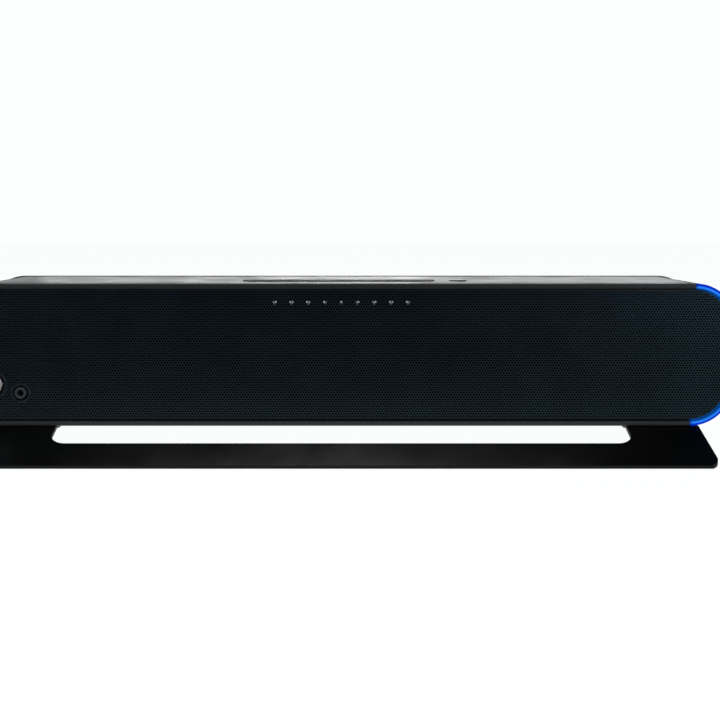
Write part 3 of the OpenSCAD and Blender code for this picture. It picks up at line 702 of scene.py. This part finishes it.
def volume_knob():
    """A turned cap: a slightly dished face, a rounded shoulder and fine flutes behind it."""
    r, front, back = KNOB_R, KNOB_FRONT, KNOB_BACK
    dish = [(0.0, front + 0.30), (r * 0.3, front + 0.24), (r * 0.45, front + 0.14),
            (r - KNOB_ROUND - 0.3, front + 0.03)]
    shoulder = arc((r - KNOB_ROUND, front + KNOB_ROUND), KNOB_ROUND, -90, 0, 9)
    fluted = [(r, front + KNOB_ROUND + 0.3), (r, back - 1.6)]
    skirt = [(r, back - 1.3), (r - 0.4, back - 1.1), (r - 0.4, back - 0.15), (r - 0.55, back),
             (SHAFT_R, back), (SHAFT_R, back - 4.0), (0.0, back - 4.0)]
    first = len(dish) + len(shoulder)

    def radius_at(k, radius, angle):
        if k not in (first, first + 1):
            return radius
        return radius - FLUTE_D * (0.5 + 0.5 * math.cos(FLUTES * angle))

    vertices, faces = lathe(dish + shoulder + fluted + skirt, *KNOB, FLUTES * 6, radius_at)
    piece = make_piece("volume_knob_cap", vertices, faces, "knob_metal", "volume_knob", ["volume_knob"])
    outward(piece.data)
    mark = [(0.0, front + 0.06), (MARK_R - 0.08, front + 0.06), (MARK_R, front + 0.12),
            (MARK_R, front + 1.0), (0.0, front + 1.0)]
    vertices, faces = lathe(mark, KNOB[0], KNOB[1] + KNOB_R - 1.9, 24)
    outward(make_piece("volume_knob_mark", vertices, faces, "key_plastic", "volume_knob").data)
    return piece


# ---------- rubber surrounds and spiders ----------

SECTORS = 12
CONE_LOW, CONE_HIGH = box_mm("right_cone")
DRIVER_X = (CONE_LOW.x + CONE_HIGH.x) / 2
PLATE_LOW, PLATE_HIGH = box_mm("radiator_plate")
PLATE_HALF = (PLATE_HIGH.x - PLATE_LOW.x - PLATE_HIGH.z + PLATE_LOW.z) / 2
LIP_D = PLATE_LOW.y - FRONT_Y - 1.05


def sector_runs(x, half):
    """A circle, or a racetrack of the given half length, cut into short runs."""
    runs = []
    for i in range(SECTORS):
        middle = x + half if i < SECTORS / 2 else x - half
        angles = [math.radians(360 * (i + k / 5) / SECTORS - 90) for k in range(6)]
        runs.append([((middle, MID_Z), (math.cos(a), math.sin(a))) for a in angles])
    if half:
        runs += [[((x - up * half * k, MID_Z), (0.0, float(up))) for k in (-1, 0, 1)] for up in (1, -1)]
    return runs


def soft_ring(node, slot, x, half, profile):
    """A flexible ring, cut into short runs. Each run is its own piece on no body, its placement baked into
    its mesh."""
    for number, run in enumerate(sector_runs(x, half)):
        vertices, faces = carried(run, profile, False)
        piece = make_piece(f"{node}_{number}", vertices, faces, slot, None, [node])
        outward(piece.data)
        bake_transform(piece)


def suspensions():
    """The surround and spider of each driver, and the surround of the passive radiator."""
    surround = [(26.4, 9.9), (26.4, 10.6), (23.2, 10.6), *arc((21.6, 10.6), 1.6, 0, -180),
                (20, 13.3), (19.3, 13.3), *arc((21.6, 10.6), 2.3, -180, 0)]
    steps = [(8.3 + (18 - 8.3) * i / 8, 23.2 + 0.8 * (i % 2)) for i in range(9)]
    spider = steps + [(radius, depth + 0.4) for radius, depth in steps[::-1]]
    for side, word in ((-1, "left"), (1, "right")):
        soft_ring(f"{word}_surround", "surround_rubber", side * DRIVER_X, 0, surround)
        soft_ring(f"{word}_spider", "spider_cloth", side * DRIVER_X, 0, spider)
    roll = [(14.5, LIP_D + 1), (14.5, LIP_D), *arc((20.5, LIP_D), 2.5, 180, 0), (26, LIP_D),
            (26, LIP_D + 1), *arc((20.5, LIP_D), 3.4, 17, 163)]
    soft_ring("radiator_surround", "surround_rubber", 0, PLATE_HALF, roll)


# ---------- CAD nodes that stay ----------


def soften(node, width):
    """Rounds a CAD node's sharp edges with modifiers, leaving its mesh alone."""
    piece = frame["nodes"][node]
    weld = piece.modifiers.new("weld", "WELD")
    weld.merge_threshold = 0.000001
    bevel = piece.modifiers.new("bevel", "BEVEL")
    bevel.width = width * MM
    bevel.segments = 2
    bevel.limit_method = "ANGLE"
    bevel.angle_limit = math.radians(40.0)
    bevel.use_clamp_overlap = True
    bevel.harden_normals = True


def dress_cad_nodes():
    """Gives every CAD node its material, and rounds the edges of those that show."""
    slots = {part["node"]: part["material_slot"] for part in frame["record"]["subparts"]}
    for node, piece in frame["nodes"].items():
        piece.data.materials.clear()
        piece.data.materials.append(MATERIALS[slots[node]])
    for node in ("key_1", "key_2", "key_3", "key_4", "key_5", "power_key", "main_shell", "stand_pads",
                 "radiator_plate", "headphone_jack"):
        soften(node, 0.3)
    soften("rear_cover", 0.5)
    soften("stand", 0.35)
    for node in ("aux_jack", "usb_port", "rear_screws", "stand_screws"):
        soften(node, 0.12)


# ---------- stage, lights and camera ----------

FLOOR_HALF = 6.0
CAMERA_BACK = 532.0
CAMERA_Z = 122.5
CAMERA_TILT = 7.65
CAMERA_LENS = 50.87
CAMERA_SHIFT = 0.026


def stage():
    """A pale floor. It lights the object less than its white look to the camera."""
    material = new_material("floor_paint", (0.15, 0.15, 0.15), 0.9, Specular_IOR_Level=0.0)
    slow = noise(material, coordinates(material), 2.0)
    link(material, mix_colours(material, slow, (0.14, 0.14, 0.14), (0.16, 0.16, 0.16)),
         shader_of(material).inputs["Base Color"])
    shader_of(material).inputs["Emission Color"].default_value = STUDIO_WHITE
    where = add_node(material, "ShaderNodeTexCoord").outputs["Object"]
    far = vector_math(material, "LENGTH", vector_math(material, "MULTIPLY", where, (0.25, 1, 1)))
    glow = spread(material, far, 0.8, 0.04, 0.04, 0.16)
    path = add_node(material, "ShaderNodeLightPath")
    strength = add_node(material, "ShaderNodeMix", data_type="FLOAT")
    link(material, path.outputs["Is Camera Ray"], strength.inputs[0])
    link(material, glow, strength.inputs[2])
    strength.inputs[3].default_value = 0.97
    link(material, strength.outputs[0], shader_of(material).inputs["Emission Strength"])
    mesh = bpy.data.meshes.new("floor")
    corners = [(x * FLOOR_HALF, y * FLOOR_HALF, 0) for x, y in ((-1, -1), (1, -1), (1, 1), (-1, 1))]
    mesh.from_pydata(corners, [], [(0, 1, 2, 3)])
    mesh.materials.append(material)
    add_object("floor", mesh)


def area_light(name, place_at, look_at, size, radiance, colour=(1, 1, 1)):
    """A softbox the camera doesn't see, of the given brightness."""
    data = bpy.data.lights.new(name, "AREA")
    data.shape = "RECTANGLE"
    data.size, data.size_y = size
    data.energy = radiance * math.pi * size[0] * size[1]
    data.color = colour
    lamp = add_object(name, data)
    lamp.location = place_at
    direction = Vector(look_at) - Vector(place_at)
    lamp.rotation_euler = direction.to_track_quat("-Z", "Y").to_euler()
    lamp.visible_camera = False
    return lamp


def lights():
    """The sky, the lit horizon behind, and the softboxes, which are returned."""
    world = bpy.data.worlds.new("studio")
    bpy.context.scene.world = world
    world.use_nodes = True
    nodes, links = world.node_tree.nodes, world.node_tree.links
    nodes.clear()
    seen = nodes.new("ShaderNodeBackground")
    seen.inputs["Color"].default_value = STUDIO_WHITE
    seen.inputs["Strength"].default_value = 1.0
    lit = nodes.new("ShaderNodeBackground")
    lit.inputs["Color"].default_value = (0.75, 0.92, 1.0, 1)
    lit.inputs["Strength"].default_value = 0.06
    path = nodes.new("ShaderNodeLightPath")
    mix = nodes.new("ShaderNodeMixShader")
    out = nodes.new("ShaderNodeOutputWorld")
    links.new(path.outputs["Is Camera Ray"], mix.inputs[0])
    links.new(lit.outputs[0], mix.inputs[1])
    links.new(seen.outputs[0], mix.inputs[2])
    links.new(mix.outputs[0], out.inputs[0])
    area_light("horizon_box", (0.27, 1.5, 0.20), (0.05, 0, 0.09), (1.86, 0.34), 2.0)
    area_light("horizon_middle", (0.0, 1.48, 0.20), (0.0, 0, 0.09), (0.34, 0.34), 1.3)
    area_light("horizon_left", (-1.25, 1.45, 0.20), (-0.2, 0, 0.09), (1.3, 0.34), 1.5)
    return [area_light("left_high_box", (-1.4, -0.55, 0.75), (-0.15, 0, 0.05), (0.5, 0.5), 3.0),
            area_light("overhead_box", (0, -0.35, 1.5), (0, 0, 0), (1.6, 0.4), 3.0),
            area_light("left_box", (-0.95, -1.4, 0.75), (-0.1, 0, 0.05), (0.5, 0.7), 1.8, (0.85, 0.95, 1.0)),
            area_light("right_box", (0.95, -1.4, 0.30), (0.1, 0, 0.05), (0.5, 0.9), 2.0, (0.85, 0.95, 1.0))]


def link_light(piece, lamps, state):
    """Limits lamps to one piece, or keeps them off it."""
    linked = bpy.data.collections.new(f"{state.lower()}_{piece.name}")
    linked.objects.link(piece)
    linked.collection_objects[0].light_linking.link_state = state
    for lamp in lamps:
        lamp.light_linking.receiver_collection = linked


def detail_lights(knob, softboxes):
    """Small cards that pick out the knob from above and below, and the middle of the stand."""
    target = place(KNOB[0], 0, KNOB[1])
    cards = [area_light(f"knob_card_{word}", (0.35, -0.75, height), target, (0.5, 0.3), 9.0)
             for word, height in (("high", 0.55), ("low", 0.04))]
    link_light(knob, cards, "INCLUDE")
    near = (FRONT_Y - 30) * MM
    stand = frame["nodes"]["stand"]
    card = area_light("stand_card", (-0.008, near, 0.100), (-0.008, near, 0.0), (0.06, 0.02), 28.0)
    strip = area_light("stand_strip", (-0.003, near, 0.080), (-0.003, near, 0.0), (0.26, 0.02), 8.0)
    link_light(stand, [card, strip], "INCLUDE")
    link_light(stand, softboxes, "EXCLUDE")


def camera():
    """At the photographer's place: straight in front, a little above, tilted down."""
    data = bpy.data.cameras.new("camera")
    data.lens = CAMERA_LENS
    data.sensor_width = 36
    data.shift_x = CAMERA_SHIFT
    data.clip_start = 0.01
    view = add_object("camera", data)
    view.location = place(0, -CAMERA_BACK, CAMERA_Z)
    view.rotation_euler = (math.radians(90 - CAMERA_TILT), 0, 0)
    bpy.context.scene.camera = view


dress_cad_nodes()
front_frame()
light_guides()
grille()
scrim()
knob = volume_knob()
suspensions()
stage()
detail_lights(knob, lights())
camera()
bpy.context.scene.view_settings.view_transform = "Standard"
